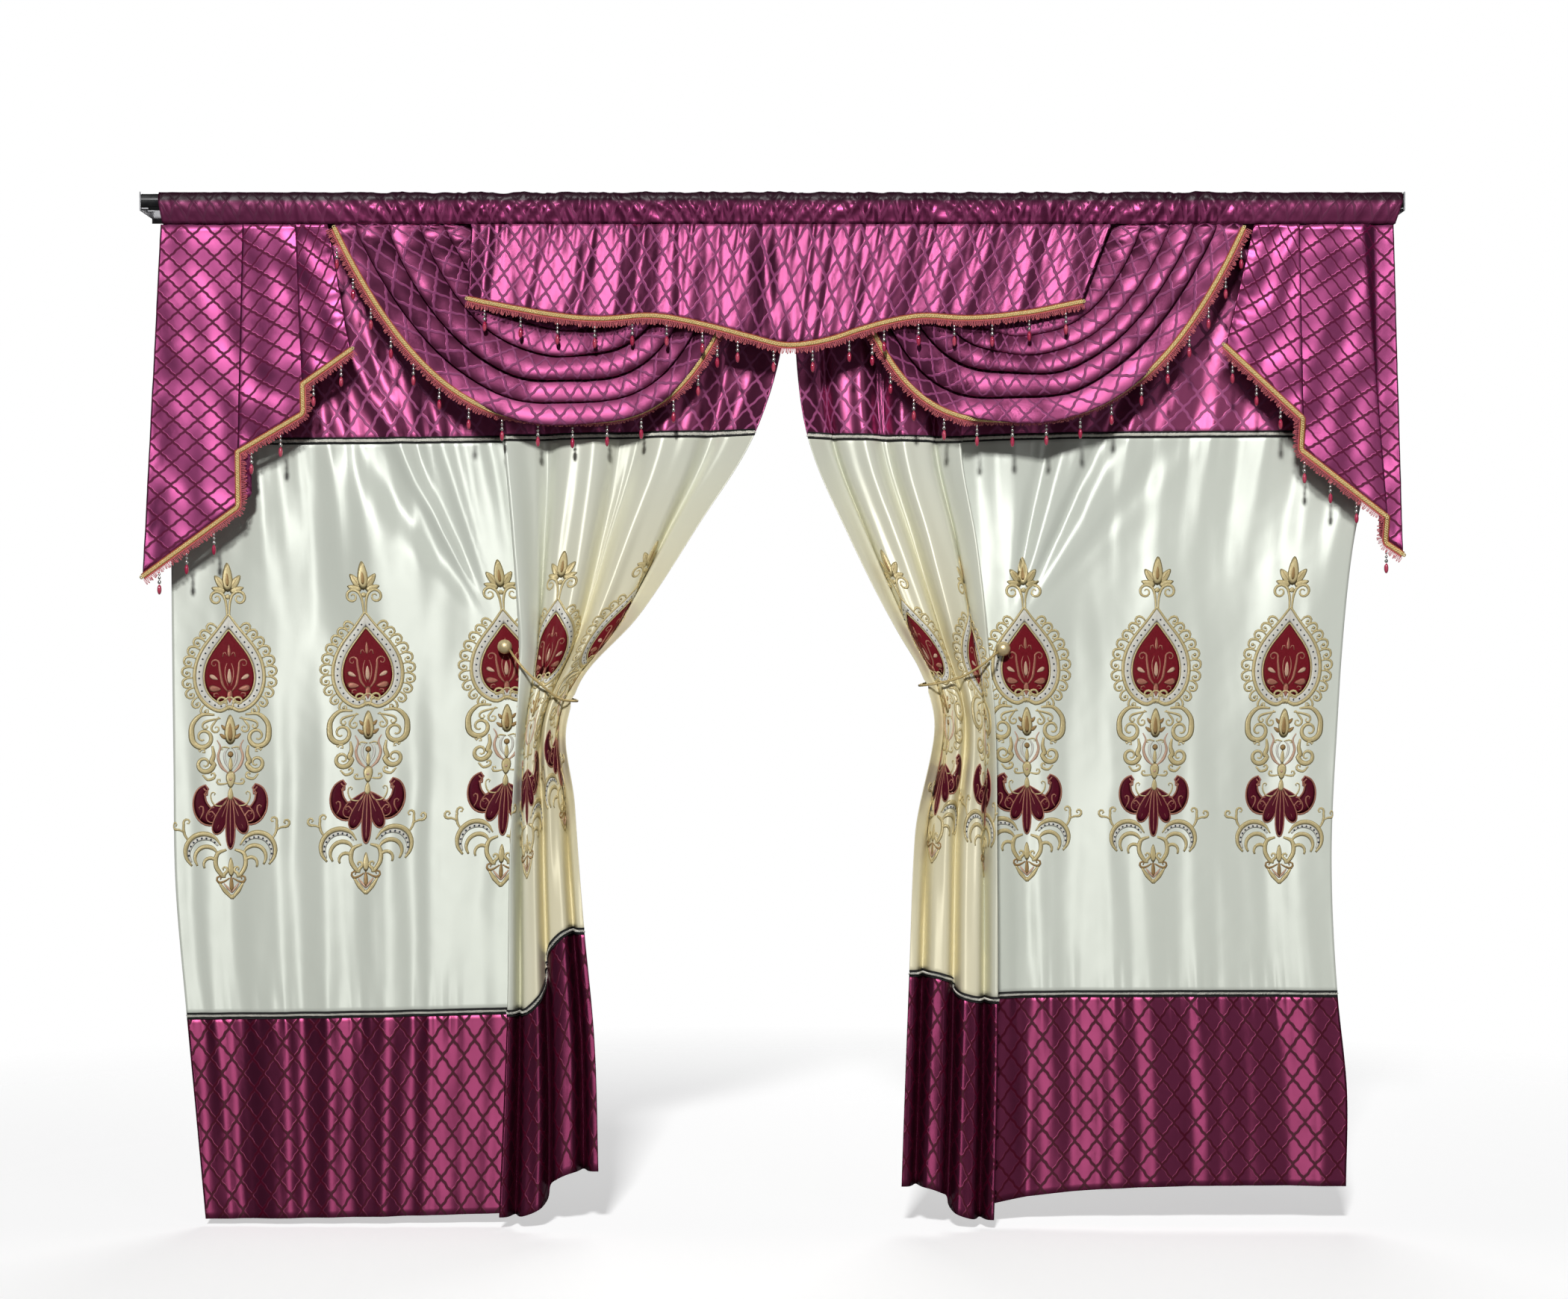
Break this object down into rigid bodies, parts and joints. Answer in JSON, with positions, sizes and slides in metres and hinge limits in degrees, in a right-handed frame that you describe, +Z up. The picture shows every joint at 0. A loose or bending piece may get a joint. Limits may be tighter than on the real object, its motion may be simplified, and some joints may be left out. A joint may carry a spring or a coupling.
{
  "type": "blackout curtain pair with swag valance on a double curtain rod",
  "caption": "Cream satin curtains with plum bands, tied back, under a plum swag valance with tails and beaded trim, hung on a double rod.",
  "frame": {"origin": "centre of the middle bracket's wall plate, level with both rods", "axes": "+X along the rods to the right as seen from the room, +Y towards the wall, +Z up"},
  "size_m": [2.912, 0.2022, 2.395],
  "materials": {
    "plum_satin": "glossy plum jacquard satin with a matt lattice",
    "cream_satin": "cream satin with raised gold and burgundy embroidery",
    "seam_braid": "black braid with a silver middle line",
    "gold_trim": "gold gimp braid with red loop fringe and bead drops",
    "gold_cord": "twisted gold cord",
    "gold_ball": "satin gold",
    "rod_paint": "dark grey paint",
    "bracket_metal": "plain silvery metal"
  },
  "bodies": {
    "root": {"rod_front": "rod_paint", "rod_rear": "rod_paint", "bracket_left": "bracket_metal", "bracket_middle": "bracket_metal", "bracket_right": "bracket_metal", "valance_heading": "plum_satin", "valance_skirt": "plum_satin", "swag_left": "plum_satin", "swag_right": "plum_satin", "tail_left": "plum_satin", "tail_right": "plum_satin", "trim_skirt": "gold_trim", "trim_swag_left": "gold_trim", "trim_swag_right": "gold_trim", "trim_tail_left": "gold_trim", "trim_tail_right": "gold_trim", "panel_left_top_band": "plum_satin", "panel_left_upper_braid": "seam_braid", "panel_left_cream": "cream_satin", "panel_left_lower_braid": "seam_braid", "panel_left_bottom_band": "plum_satin", "panel_right_top_band": "plum_satin", "panel_right_upper_braid": "seam_braid", "panel_right_cream": "cream_satin", "panel_right_lower_braid": "seam_braid", "panel_right_bottom_band": "plum_satin", "tie_cord_left": "gold_cord", "tie_cord_right": "gold_cord", "tie_ball_left_front": "gold_ball", "tie_ball_left_rear": "gold_ball", "tie_ball_right_front": "gold_ball", "tie_ball_right_rear": "gold_ball"}
  },
  "joints": []
}
